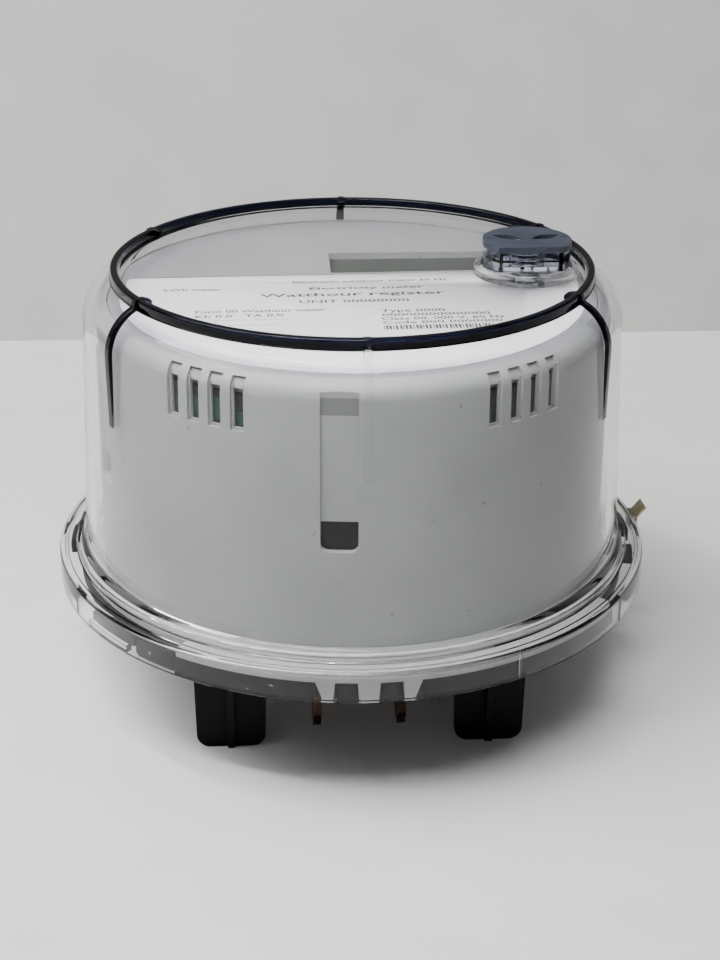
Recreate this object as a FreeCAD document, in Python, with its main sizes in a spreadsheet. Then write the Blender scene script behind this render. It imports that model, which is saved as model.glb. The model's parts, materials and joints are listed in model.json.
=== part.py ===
import FreeCAD, Part
import math
import os
import re
import Sketcher
from FreeCAD import Placement, Rotation, Vector

# Socket-type electronic watt-hour meter with a clear twist-on cover, standing on its base legs.
# The origin is on the meter's axis in the plane of the leg ends. +Z runs up to the face and -Y is the
# lower edge of the nameplate. Azimuths are degrees from -Y, growing towards +X. Lengths are millimetres.

DIMENSIONS = {
    # Clear cover: rim and skirt, wall, shoulder, face and bead.
    "flange_radius": 88.25,
    "flange_top": 46.0,
    "flange_plate": 2.0,
    "skirt_bottom": 37.0,
    "skirt_wall": 1.85,
    "foot_radius": 80.0,
    "foot_level": 51.0,
    "wall_radius": 77.3,
    "wall_level": 116.0,
    "cover_wall": 2.5,
    "shoulder_radius": 13.0,
    "face_level": 129.0,
    "bead_radius": 69.0,
    "bead_width": 2.4,
    "bead_height": 1.8,
    "rib_angle": 1.9,
    "rib_height": 1.0,
    "rib_end": 96.0,
    # Twist lock between cover and base.
    "lug_start": -61.0,
    "lug_angle": 13.0,
    "lug_height": 2.2,
    "lug_depth": 1.6,
    # Reset knob in its well.
    "knob_x": 50.0,
    "knob_y": -0.2,
    "knob_radius": 12.75,
    "knob_chord": 8.8,
    "knob_cap": 1.8,
    "knob_top": 136.3,
    "knob_wall": 1.2,
    "well_radius": 13.3,
    "well_depth": 2.3,
    "well_floor": 2.2,
    "stem_radius": 2.5,
    "stem_end": 123.4,
    "running_gap": 0.05,
    # Base with rim, cup and legs.
    "base_floor": 3.0,
    "base_bottom": 37.5,
    "rim_radius": 85.9,
    "rim_top": 42.0,
    "rim_bottom": 36.5,
    "ring_radius": 82.0,
    "cup_radius": 71.8,
    "cup_wall": 2.0,
    "cup_top": 90.0,
    "leg_x": 37.3,
    "leg_y": 48.5,
    "leg_width": 19.8,
    "leg_plate": 2.2,
    "leg_corner": 4.0,
    "leg_rib": 7.0,
    # Contact blades, in two rows of four.
    "blade_pitch": 24.6,
    "blade_y": 38.0,
    "blade_width": 16.5,
    "blade_thick": 2.4,
    "blade_tip": 2.4,
    "blade_top": 54.0,
    "pin_radius": 0.9,
    # Current sensors.
    "bar_level": 65.0,
    "bar_height": 8.0,
    "bar_thick": 2.0,
    "ring_outer": 14.0,
    "ring_bore": 5.6,
    "ring_length": 16.0,
    # Boards.
    "board_radius": 66.0,
    "board_thick": 1.6,
    "main_level": 82.0,
    "display_level": 110.0,
    "post_x": 28.0,
    "post_y": 52.0,
    "post_radius": 3.2,
    # Inner shroud and nameplate.
    "shroud_foot": 75.0,
    "shroud_radius": 74.0,
    "shroud_wall": 2.0,
    "shroud_shoulder": 116.0,
    "shroud_top": 120.9,
    "shroud_lip": 1.5,
    "seat_level": 119.4,
    "seat_radius": 69.7,
    "plate_thick": 1.2,
    "label_radius": 66.0,
    "label_edge": 11.5,
    "label_thick": 0.15,
    # Display window.
    "window_left": -5.6,
    "window_right": 42.5,
    "window_front": 14.0,
    "window_back": 34.0,
    # Buttons on the display board.
    "button_radius": 3.0,
    "button_top": 123.1,
    "test_x": 57.5,
    "test_y": 13.5,
    "test_radius": 2.4,
}

RIM_SECTORS = [
    # start and end azimuth, outer radius, lower level
    ("-60", "-46.5", "rim_radius", "rim_bottom + 3"),
    ("-46.5", "-36.5", "rim_radius - 0.7", "rim_bottom + 0.8"),
    ("-36.5", "28", "rim_radius", "rim_bottom"),
    ("28", "57", "rim_radius - 0.7", "rim_bottom + 0.3"),
]
LIP_TABS = [
    # azimuth, then left and right edge at the top and at the bottom
    ("-7.5", ("-3.0", "2.3"), ("-1.0", "1.8")),
    ("0", ("-3.0", "3.0"), ("-2.6", "2.6")),
    ("7.5", ("-2.3", "3.0"), ("-1.8", "1.0")),
]
CHANNEL_AZIMUTHS = ("-5.6", "-69.4", "110.6", "174.4")
VENT_AZIMUTHS = ("26.2", "31.3", "36.3", "41.4")

document = FreeCAD.newDocument("socket_meter")
subparts = []


# ---------------------------------------------------------------- helpers

def cell(expression):
    """Put the sheet's name before each alias in an expression."""
    def qualified(word):
        return f"dims.{word[0]}" if word[0] in DIMENSIONS else word[0]
    return re.sub(r"[a-z_]+", qualified, str(expression))


def number(expression):
    """The value of an expression, in millimetres or degrees."""
    value = sheet.evalExpression(cell(expression))
    return float(getattr(value, "Value", value))


def make_sheet():
    """The driving dimensions, one alias a row."""
    table = document.addObject("Spreadsheet::Sheet", "dims")
    for row, (alias, value) in enumerate(DIMENSIONS.items(), start=1):
        table.set(f"A{row}", alias)
        table.set(f"B{row}", str(value))
        table.setAlias(f"B{row}", alias)
    document.recompute()
    return table


def finish(piece, label):
    """Name a finished sub-part and list it for export."""
    piece.Label = label
    subparts.append(piece)
    return piece


def origin_feature(body, role):
    return next(feature for feature in body.Origin.OriginFeatures if feature.Role == role)


def new_body(label):
    body = document.addObject("PartDesign::Body", label)
    return finish(body, label)


def flat_sketch(body, level="0"):
    """A sketch in a horizontal plane: x is X, y is Y."""
    sketch = body.newObject("Sketcher::SketchObject", body.Name + "_plan")
    sketch.AttachmentSupport = [(origin_feature(body, "XY_Plane"), "")]
    sketch.MapMode = "FlatFace"
    sketch.setExpression(".AttachmentOffset.Base.z", cell(level))
    return sketch


def upright_sketch(body, azimuth="0", distance="0"):
    """A sketch in an upright plane that faces outwards at an azimuth: x runs around, y is Z."""
    sketch = body.newObject("Sketcher::SketchObject", body.Name + "_front")
    sketch.AttachmentSupport = [(origin_feature(body, "XZ_Plane"), "")]
    sketch.MapMode = "FlatFace"
    turn = Rotation(Vector(0, 1, 0), number(azimuth))
    sketch.AttachmentOffset = Placement(turn.multVec(Vector(0, 0, number(distance))), turn)
    return sketch


def side_sketch(body, distance="0"):
    """A sketch in a plane across X: x is Y, y is Z."""
    sketch = body.newObject("Sketcher::SketchObject", body.Name + "_side")
    sketch.AttachmentSupport = [(origin_feature(body, "YZ_Plane"), "")]
    sketch.MapMode = "FlatFace"
    sketch.setExpression(".AttachmentOffset.Base.z", cell(distance))
    return sketch


def pin_point(sketch, edge, point, x, y):
    """Tie one point of an edge to the place that two expressions give."""
    for kind, axis, value in (("DistanceX", -2, x), ("DistanceY", -1, y)):
        if abs(number(value)) < 1e-9:
            sketch.addConstraint(Sketcher.Constraint("PointOnObject", edge, point, axis))
            continue
        index = sketch.addConstraint(Sketcher.Constraint(kind, -1, 1, edge, point, number(value)))
        sketch.setExpression(f"Constraints[{index}]", cell(value))


def add_edge(sketch, start, end, radius):
    """A line, or a minor arc that turns left for a positive radius; its id and its start and end points."""
    first, last = Vector(*start, 0), Vector(*end, 0)
    if radius is None:
        return sketch.addGeometry(Part.LineSegment(first, last), False), 1, 2
    size = abs(number(radius))
    chord = last - first
    sagitta = size - (size * size - chord.Length ** 2 / 4) ** 0.5
    outwards = Vector(chord.y, -chord.x, 0).normalize() * (sagitta if number(radius) > 0 else -sagitta)
    edge = sketch.addGeometry(Part.Arc(first, (first + last) / 2 + outwards, last), False)
    index = sketch.addConstraint(Sketcher.Constraint("Radius", edge, size))
    sketch.setExpression(f"Constraints[{index}]", cell(f"abs({radius})"))
    forwards = sketch.getPoint(edge, 1).distanceToPoint(first) < 1e-6
    return (edge, 1, 2) if forwards else (edge, 2, 1)


def outline(sketch, corners):
    """A closed outline. A corner is (x, y), or (x, y, radius) where the edge that ends there is an arc."""
    places = [(number(corner[0]), number(corner[1])) for corner in corners]
    edges = []
    for index, corner in enumerate(corners):
        radius = corner[2] if len(corner) == 3 else None
        edges.append(add_edge(sketch, places[index - 1], places[index], radius))
    for index, corner in enumerate(corners):
        edge, _, last = edges[index]
        following, first, _ = edges[(index + 1) % len(edges)]
        sketch.addConstraint(Sketcher.Constraint("Coincident", edge, last, following, first))
        pin_point(sketch, edge, last, corner[0], corner[1])
    return sketch


def circle(sketch, x, y, radius):
    centre = Vector(number(x), number(y), 0)
    edge = sketch.addGeometry(Part.Circle(centre, Vector(0, 0, 1), number(radius)), False)
    index = sketch.addConstraint(Sketcher.Constraint("Radius", edge, number(radius)))
    sketch.setExpression(f"Constraints[{index}]", cell(radius))
    pin_point(sketch, edge, 3, x, y)
    return sketch


def rectangle(left, right, front, back):
    return [(left, front), (right, front), (right, back), (left, back)]


def sector(inner, outer, start, end):
    """The outline of a piece of a ring between two azimuths."""
    def place(radius, azimuth):
        return f"({radius}) * sin({azimuth})", f"-({radius}) * cos({azimuth})"
    return [
        place(inner, start) + (f"-({inner})",),
        place(outer, start),
        place(outer, end) + (f"{outer}",),
        place(inner, end),
    ]


def pad(body, sketch, length, midplane=False, inwards=False):
    feature = body.newObject("PartDesign::Pad", body.Name + "_pad")
    feature.Profile = sketch
    feature.Midplane = midplane
    feature.Reversed = inwards
    feature.setExpression("Length", cell(length))
    return feature


def checked_cut(body, feature):
    """Recompute a cut and make sure that it removed material."""
    before = feature.BaseFeature.Shape.Volume
    document.recompute()
    if feature.Shape.Volume > before - 1e-3:
        raise RuntimeError(f"{feature.Label} cuts nothing")
    return feature


def pocket(body, sketch, length, upwards=False):
    document.recompute()
    feature = body.newObject("PartDesign::Pocket", body.Name + "_pocket")
    feature.Profile = sketch
    feature.Reversed = upwards
    feature.setExpression("Length", cell(length))
    return checked_cut(body, feature)


def revolve(body, sketch, angle="360", midplane=False):
    feature = body.newObject("PartDesign::Revolution", body.Name + "_turned")
    feature.Profile = sketch
    feature.ReferenceAxis = (sketch, ["V_Axis"])
    feature.setExpression("Angle", cell(angle))
    feature.Midplane = midplane
    return feature


def groove(body, sketch):
    document.recompute()
    feature = body.newObject("PartDesign::Groove", body.Name + "_groove")
    feature.Profile = sketch
    feature.ReferenceAxis = (sketch, ["V_Axis"])
    feature.Angle = 360
    return checked_cut(body, feature)


def around(body, feature, count):
    """Repeat a feature evenly about the Z axis."""
    document.recompute()
    pattern = body.newObject("PartDesign::PolarPattern", body.Name + "_pattern")
    pattern.Originals = [feature]
    pattern.Axis = (origin_feature(body, "Z_Axis"), [""])
    pattern.Angle = 360
    pattern.Occurrences = count
    body.Tip = pattern
    return pattern


def box(label, size, corner):
    piece = document.addObject("Part::Box", label)
    for name, value in zip(("Length", "Width", "Height"), size):
        piece.setExpression(name, cell(value))
    for name, value in zip("xyz", corner):
        piece.setExpression(f".Placement.Base.{name}", cell(value))
    return piece


def rod(label, radius, length, start, direction=(0, 0, 1)):
    piece = document.addObject("Part::Cylinder", label)
    piece.Placement = Placement(Vector(), Rotation(Vector(0, 0, 1), Vector(*direction)))
    piece.setExpression("Radius", cell(radius))
    piece.setExpression("Height", cell(length))
    for name, value in zip("xyz", start):
        piece.setExpression(f".Placement.Base.{name}", cell(value))
    return piece


def cut(label, base, tool):
    piece = document.addObject("Part::Cut", label)
    piece.Base = base
    piece.Tool = tool
    return piece


def fuse(label, pieces):
    piece = document.addObject("Part::MultiFuse", label)
    piece.Shapes = pieces
    return piece


def group(label, pieces):
    """Identical separate solids that share one node."""
    piece = document.addObject("Part::Compound", label)
    piece.Links = pieces
    return finish(piece, label)


def tube(label, outer, inner, length, start, direction=(0, 0, 1)):
    return cut(label, rod(label + "_outside", outer, length, start, direction),
               rod(label + "_bore", inner, length, start, direction))


# ---------------------------------------------------------------- clear cover

def cover_shell():
    """One clear moulding: skirt, flange, wall, shoulder and face, with a bead and six ribs."""
    body = new_body("cover_shell")
    centre = "(wall_radius - shoulder_radius)"
    bead_foot = f"wall_level + sqrt(shoulder_radius^2 - (bead_radius - {centre})^2)"
    inside = "flange_radius - skirt_wall"
    corners = [
        ("0", "face_level"),
        ("bead_radius - bead_width", "face_level"),
        ("bead_radius - bead_width", "face_level + bead_height"),
        ("bead_radius", "face_level + bead_height"),
        ("bead_radius", bead_foot),
        ("wall_radius", "wall_level", "-shoulder_radius"),
        ("foot_radius", "foot_level"),
        ("foot_radius + 1.4", "flange_top + 2.2"),
        ("foot_radius + 2.8", "flange_top + 2.2"),
        ("foot_radius + 2.8", "flange_top"),
        ("flange_radius - 0.8", "flange_top"),
        ("flange_radius", "flange_top - 0.8"),
        ("flange_radius", "skirt_bottom"),
        (inside, "skirt_bottom"),
        (inside, "flange_top - flange_plate"),
        ("foot_radius - cover_wall + 0.1", "flange_top - flange_plate"),
        ("wall_radius - cover_wall", "wall_level"),
        (centre, "face_level - cover_wall", "shoulder_radius - cover_wall"),
        ("0", "face_level - cover_wall"),
    ]
    revolve(body, outline(upright_sketch(body), corners))
    add_ribs(body)
    add_lugs(body, inside)
    gasket_seat = rectangle("foot_radius - 1.1", "foot_radius + 1.6",
                            "flange_top - flange_plate", "flange_top - flange_plate + 1.1")
    groove(body, outline(upright_sketch(body), gasket_seat))
    add_knob_well(body)


def add_ribs(body):
    """Six thin raised ribs, from just inside the bead, over the shoulder and down the wall."""
    slope = "(foot_radius - wall_radius) / (wall_level - foot_level)"
    corners = [
        ("-(bead_radius - bead_width - 2.2)", "face_level - 1.5"),
        ("-(bead_radius - bead_width - 2.2)", "face_level + bead_height - 0.4"),
        ("-(bead_radius + 0.5)", "face_level + bead_height + 0.2"),
        ("-(wall_radius + rib_height)", "wall_level", "shoulder_radius + rib_height"),
        (f"-(wall_radius + {slope} * (wall_level - rib_end))", "rib_end"),
        ("-(wall_radius - 1.1)", "rib_end"),
        ("-(wall_radius - 1.1)", "wall_level"),
        ("-(bead_radius + 4)", "face_level - 5"),
        ("-(bead_radius - 3)", "face_level - 1.5"),
    ]
    rib = revolve(body, outline(side_sketch(body), corners), "rib_angle", midplane=True)
    around(body, rib, 6)


def add_lugs(body, inside):
    """Two inward lugs at the skirt's lower edge, which lock under ledges of the base rim."""
    shape = sector(f"{inside} - lug_depth", f"{inside} + 0.4", "lug_start", "lug_start + lug_angle")
    lug = pad(body, outline(flat_sketch(body, "skirt_bottom"), shape), "lug_height")
    around(body, lug, 2)


def add_knob_well(body):
    """A round well in the face for the knob, with a bore for its stem and a seat for the seal ring."""
    floor = "face_level - well_depth"
    boss = circle(flat_sketch(body, f"{floor} - well_floor"), "knob_x", "knob_y", "well_radius + 1.8")
    pad(body, boss, "well_depth + well_floor - cover_wall + 0.5")
    well = circle(flat_sketch(body, "face_level"), "knob_x", "knob_y", "well_radius")
    pocket(body, well, "well_depth")
    seat = circle(flat_sketch(body, floor), "knob_x", "knob_y", "stem_radius + 1.5")
    pocket(body, seat, "1.0")
    bore = circle(flat_sketch(body, floor), "knob_x", "knob_y", "stem_radius + running_gap")
    pocket(body, bore, "well_floor + 1")


def cover_gasket():
    """Flat rubber ring in the groove under the cover's flange."""
    body = new_body("cover_gasket")
    shape = rectangle("foot_radius - 1.0", "foot_radius + 1.5",
                      "flange_top - flange_plate - 0.2", "flange_top - flange_plate + 1.0")
    revolve(body, outline(upright_sketch(body), shape))


def ground_clip():
    """Bent brass clip over the cover's rim, with an ear that stands out for the socket's sealing ring."""
    body = new_body("ground_clip")
    corners = [
        ("flange_radius + 0.1", "flange_top - 5.5"),
        ("flange_radius + 0.6", "flange_top - 5.5"),
        ("flange_radius + 0.6", "flange_top + 0.1"),
        ("flange_radius + 3.2", "flange_top + 3.3"),
        ("flange_radius + 2.8", "flange_top + 3.7"),
        ("flange_radius + 0.3", "flange_top + 0.6"),
        ("flange_radius - 1.2", "flange_top + 0.6"),
        ("flange_radius - 1.2", "flange_top + 0.1"),
        ("flange_radius + 0.1", "flange_top + 0.1"),
    ]
    pad(body, outline(upright_sketch(body), corners), "6.4", midplane=True)
    body.Placement = Placement(Vector(), Rotation(Vector(0, 0, 1), 3))


# ---------------------------------------------------------------- reset knob

def knob_outline(radius, chord):
    """A disc with one flat side towards -Y."""
    half = f"sqrt(({radius})^2 - ({chord})^2)"
    return [
        (f"knob_x - {half}", f"knob_y - ({chord})", radius),
        (f"knob_x + {half}", f"knob_y - ({chord})"),
        ("knob_x", f"knob_y + {radius}", radius),
    ]


def knob_cap():
    """The opaque top of the knob, with two leaf-shaped slots and two slits for a seal wire."""
    body = new_body("knob_cap")
    disc = knob_outline("knob_radius", "knob_chord")
    pad(body, outline(flat_sketch(body, "knob_top - knob_cap"), disc), "knob_cap")
    leaf_arc = "8.5"
    for side in ("-1", "1"):
        near = (f"knob_x + {side} * 1.1", "knob_y - 0.5", leaf_arc)
        far = (f"knob_x + {side} * 9.7", "knob_y + 3.9", leaf_arc)
        pocket(body, outline(flat_sketch(body, "knob_top"), [near, far]), "knob_cap + 0.1")
        middle = f"knob_x + {side} * 10.8"
        slit = rectangle(f"{middle} - 0.9", f"{middle} + 0.9", "knob_y + 1.1", "knob_y + 1.7")
        pocket(body, outline(flat_sketch(body, "knob_top"), slit), "0.8")


def knob_body():
    """The clear hollow part of the knob, with a web across its middle and a way through for the spring."""
    body = new_body("knob_body")
    height = "(knob_top - knob_cap - face_level)"
    room = f"{height} / 2 - 0.3"
    outside = knob_outline("knob_radius - 0.2", "knob_chord - 0.2")
    inside = knob_outline("knob_radius - 0.2 - knob_wall", "knob_chord - 0.2 - knob_wall")
    pad(body, outline(flat_sketch(body, "face_level"), outside), height)
    pocket(body, outline(flat_sketch(body, "knob_top - knob_cap"), inside), room)
    pocket(body, outline(flat_sketch(body, "face_level"), inside), room, upwards=True)
    way = circle(flat_sketch(body, "knob_top"), "knob_x", "knob_y", "stem_radius + 3.4")
    pocket(body, way, "knob_top - face_level")


def knob_stem():
    """Turned stem from the knob's cap down through the cover, with a groove for the retaining clip."""
    body = new_body("knob_stem")
    corners = [
        ("0", "stem_end"),
        ("stem_radius - 0.3", "stem_end"),
        ("stem_radius - 0.3", "stem_end + 0.3"),
        ("stem_radius - 0.6", "stem_end + 0.3"),
        ("stem_radius - 0.6", "stem_end + 0.9"),
        ("stem_radius", "stem_end + 0.9"),
        ("stem_radius", "knob_top - knob_cap"),
        ("0", "knob_top - knob_cap"),
    ]
    revolve(body, outline(upright_sketch(body), corners))
    body.setExpression(".Placement.Base.x", cell("knob_x"))
    body.setExpression(".Placement.Base.y", cell("knob_y"))


def stem_ring(label, outer, inner, height, level):
    """A flat ring round the knob's stem."""
    finish(tube(label, outer, inner, height, ("knob_x", "knob_y", level)), label)


def knob_hardware():
    """Retaining clip, thrust washer, seal ring and return spring, all round the knob's stem."""
    washer_level = "knob_top - knob_cap - 0.6"
    stem_ring("knob_clip", "stem_radius + 1.6", "stem_radius - 0.55", "0.5", "stem_end + 0.35")
    stem_ring("thrust_washer", "stem_radius + 3.0", "stem_radius + 0.1", "0.55", washer_level)
    seal = document.addObject("Part::Torus", "knob_seal_ring")
    seal.setExpression("Radius1", cell("stem_radius + 0.75"))
    seal.setExpression("Radius2", "0.6")
    for name, value in zip("xyz", ("knob_x", "knob_y", "face_level - well_depth - 0.35")):
        seal.setExpression(f".Placement.Base.{name}", cell(value))
    finish(seal, "knob_seal_ring")
    plunger_spring(washer_level)


def plunger_spring(top):
    """Return spring of eight-sided wire, from the well's floor up to the thrust washer."""
    wire, clearance, turns = 0.38, 0.05, 4
    low = number("face_level - well_depth") + wire + clearance
    rise = number(top) - wire - clearance - low
    radius = number("stem_radius") + 2.4
    angles = [math.radians(45 * corner + 22.5) for corner in range(9)]
    section = Part.makePolygon(
        [Vector(radius + wire * math.cos(angle), 0, wire * math.sin(angle)) for angle in angles])
    path = Part.Wire(Part.makeHelix(rise / turns, rise, radius).Edges)
    spring = document.addObject("Part::Feature", "plunger_spring")
    spring.Shape = path.makePipeShell([section], True, True)
    spring.Placement = Placement(Vector(number("knob_x"), number("knob_y"), low), Rotation())
    finish(spring, "plunger_spring")


# ---------------------------------------------------------------- base

def base_housing():
    """Dark moulded base: floor, ring, cup, rim sectors, four legs, board posts and sensor cradles."""
    body = new_body("base_housing")
    floor_top = "base_bottom + base_floor"
    corners = [
        ("0", "base_bottom"),
        ("ring_radius", "base_bottom"),
        ("ring_radius", "rim_top"),
        ("ring_radius - 2.5", "rim_top"),
        ("ring_radius - 2.5", floor_top),
        ("cup_radius", floor_top),
        ("cup_radius", "cup_top"),
        ("cup_radius - cup_wall", "cup_top"),
        ("cup_radius - cup_wall", floor_top),
        ("0", floor_top),
    ]
    revolve(body, outline(upright_sketch(body), corners))
    for start, end, outer, low in RIM_SECTORS:
        shape = sector("ring_radius - 0.5", outer, start, end)
        part = pad(body, outline(flat_sketch(body, low), shape), f"rim_top - ({low})")
        around(body, part, 2)
    for azimuth, _, _ in LIP_TABS:
        notch = rectangle("-3.3", "3.3", "rim_bottom - 1", "rim_top + 1")
        pocket(body, outline(upright_sketch(body, azimuth, "rim_radius + 1"), notch), "2.6")
    add_legs(body)
    for row in ("-1", "1"):
        for place in ("-1.5", "-0.5", "0.5", "1.5"):
            x, y = f"{place} * blade_pitch", f"{row} * blade_y"
            slot = rectangle(f"{x} - blade_thick / 2 - 0.15", f"{x} + blade_thick / 2 + 0.15",
                             f"{y} - blade_width / 2 - 0.15", f"{y} + blade_width / 2 + 0.15")
            pocket(body, outline(flat_sketch(body, floor_top), slot), "base_floor + 1")
    for side in ("-1", "1"):
        for end in ("-1", "1"):
            root = flat_sketch(body, f"{floor_top} - 0.2")
            post = circle(root, f"{side} * post_x", f"{end} * post_y", "post_radius")
            pad(body, post, f"main_level - ({floor_top}) + 0.2")
        x = f"{side} * (1.5 * blade_pitch - blade_thick / 2 - bar_thick / 2 - 0.1)"
        cradle = rectangle(f"{x} - 7", f"{x} + 7", "-6", "6")
        pad(body, outline(flat_sketch(body, f"{floor_top} - 0.2"), cradle),
            f"bar_level - ring_outer - ({floor_top}) + 0.1")
        for inner, low in (("ring_radius - 0.5", "rim_top - 2"), ("ring_radius + 0.4", "rim_top - 0.1")):
            hook = sector(inner, "rim_radius - 0.9", f"{side} * 91 - 4", f"{side} * 91 + 4")
            pad(body, outline(flat_sketch(body, low), hook), "1.9")


def add_legs(body):
    """Four legs: a plate across X with rounded lower corners, stiffened by a rib along Y."""
    for side in ("-1", "1"):
        half = "leg_width / 2"
        x = f"{side} * leg_x"
        plate = [
            (f"{x} - {half} + leg_corner", "0", "leg_corner"),
            (f"{x} + {half} - leg_corner", "0"),
            (f"{x} + {half}", "leg_corner", "leg_corner"),
            (f"{x} + {half} + 0.6", "base_bottom + 0.5"),
            (f"{x} - {half} - 0.6", "base_bottom + 0.5"),
            (f"{x} - {half}", "leg_corner"),
        ]
        for row in ("-1", "1"):
            y = f"{row} * leg_y"
            pad(body, outline(upright_sketch(body, "0", y), plate), "leg_plate", midplane=True)
            rib = [
                (y, "0"),
                (f"{y} + {row} * 2.2", "0"),
                (f"{y} + {row} * leg_rib", "base_bottom + 0.5"),
                (y, "base_bottom + 0.5"),
            ]
            pad(body, outline(side_sketch(body, x), rib), "2.1", midplane=True)


def blades():
    """Two rows of four flat contact blades, each with a tapered tip and a hole for its pin."""
    pin_level = "base_bottom + base_floor + pin_radius + 0.1"
    pins = []
    for row, name in (("1", "line"), ("-1", "load")):
        for index in range(4):
            x = f"{index - 1.5} * blade_pitch"
            near, far = f"{row} * blade_y - blade_width / 2", f"{row} * blade_y + blade_width / 2"
            body = new_body(f"{name}_blade_{index + 1}")
            corners = [
                (f"{near} + 3", "blade_tip"),
                (f"{far} - 3", "blade_tip"),
                (far, "blade_tip + 5"),
                (far, "blade_top"),
                (near, "blade_top"),
                (near, "blade_tip + 5"),
            ]
            sketch = outline(side_sketch(body, x), corners)
            circle(sketch, f"{row} * blade_y", pin_level, "pin_radius + 0.1")
            pad(body, sketch, "blade_thick", midplane=True)
            pins.append(rod(f"pin_{name}_{index + 1}", "pin_radius", "9",
                            (f"{x} - 4.5", f"{row} * blade_y", pin_level), (1, 0, 0)))
    group("blade_pins", pins)


# ---------------------------------------------------------------- current sensors

def ring_along_y(label, x, start, length, inset):
    """A tube round the current bar, set in from the sensor case's outside and bore."""
    outer, inner = f"ring_outer - {inset}", f"ring_bore + {inset}"
    return tube(label, outer, inner, length, (x, start, "bar_level"), (0, 1, 0))


def current_sensors():
    """On each side a copper bar joins the outer blades through a potted ring sensor."""
    rivets, leads = [], []
    for side, name in (("-1", "left"), ("1", "right")):
        gap = "(1.5 * blade_pitch - blade_thick / 2 - bar_thick / 2 - 0.02)"
        x = f"{side} * {gap}"
        body = new_body(f"current_bar_{name}")
        reach, top, low = "(blade_y + 5)", "bar_level + bar_height / 2", "bar_level - bar_height / 2"
        corners = [
            (f"-{reach}", "blade_top - 7"),
            (f"-{reach} + 10", "blade_top - 7"),
            (f"-{reach} + 10", low),
            (f"{reach} - 10", low),
            (f"{reach} - 10", "blade_top - 7"),
            (reach, "blade_top - 7"),
            (reach, top),
            (f"-{reach}", top),
        ]
        sketch = outline(side_sketch(body, x), corners)
        for row in ("-1", "1"):
            circle(sketch, f"{row} * blade_y", "blade_top - 3.5", "1.5")
        pad(body, sketch, "bar_thick", midplane=True)
        for row in ("-1", "1"):
            head = (f"{x} - bar_thick / 2", f"{row} * blade_y", "blade_top - 3.5")
            rivets.append(rod(f"rivet_{len(rivets)}", "1.45", "bar_thick", head, (1, 0, 0)))
        case = ring_along_y(f"case_{name}", x, "-ring_length / 2", "ring_length", "0")
        room = ring_along_y(f"room_{name}", x, "-ring_length / 2 + 1", "ring_length", "1")
        core = ring_along_y(f"sensor_core_{name}", x, "-ring_length / 2 + 1.2", "ring_length - 4", "1.2")
        potting = ring_along_y(f"sensor_potting_{name}", x, "ring_length / 2 - 2.6", "2.2", "1.1")
        finish(cut(f"sensor_case_{name}", case, room), f"sensor_case_{name}")
        finish(core, f"sensor_core_{name}")
        finish(potting, f"sensor_potting_{name}")
        for offset in ("-3", "3"):
            foot = (x, offset, "bar_level + ring_outer + 0.2")
            length = "main_level - bar_level - ring_outer - 0.3"
            leads.append(rod(f"lead_{len(leads)}", "0.7", length, foot))
    group("bar_rivets", rivets)
    group("sensor_leads", leads)


# ---------------------------------------------------------------- boards

def boards():
    """Main board on the base posts, display board on metal standoffs, and the pins between."""
    top = "main_level + board_thick"
    screws, standoffs, pins = [], [], []
    for name, level in (("main_board", "main_level"), ("display_board", "display_level")):
        body = new_body(name)
        sketch = circle(flat_sketch(body, level), "0", "0", "board_radius")
        for side in ("-1", "1"):
            for end in ("-1", "1"):
                circle(sketch, f"{side} * post_x", f"{end} * post_y", "1.6")
        pad(body, sketch, "board_thick")
    for side in ("-1", "1"):
        for end in ("-1", "1"):
            x, y = f"{side} * post_x", f"{end} * post_y"
            mark = len(standoffs)
            standoffs.append(tube(f"standoff_{mark}", "3", "1.5", f"display_level - ({top})", (x, y, top)))
            head = rod(f"screw_head_{mark}", "2.8", "1.8", (x, y, "display_level + board_thick"))
            shank = rod(f"screw_shank_{mark}", "1.4", "9", (x, y, "display_level - 7"))
            screws.append(fuse(f"screw_{mark}", [head, shank]))
            foot = (f"{side} * blade_pitch / 2", f"{end} * blade_y", "blade_top + 0.02")
            pins.append(rod(f"voltage_pin_{mark}", "0.9", "main_level - blade_top - 0.05", foot))
    group("board_standoffs", standoffs)
    group("board_screws", screws)
    group("voltage_pins", pins)
    connector = box("board_connector", ("26", "5", f"display_level - ({top}) - 0.05"), ("-13", "48", top))
    finish(connector, "board_connector")


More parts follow.
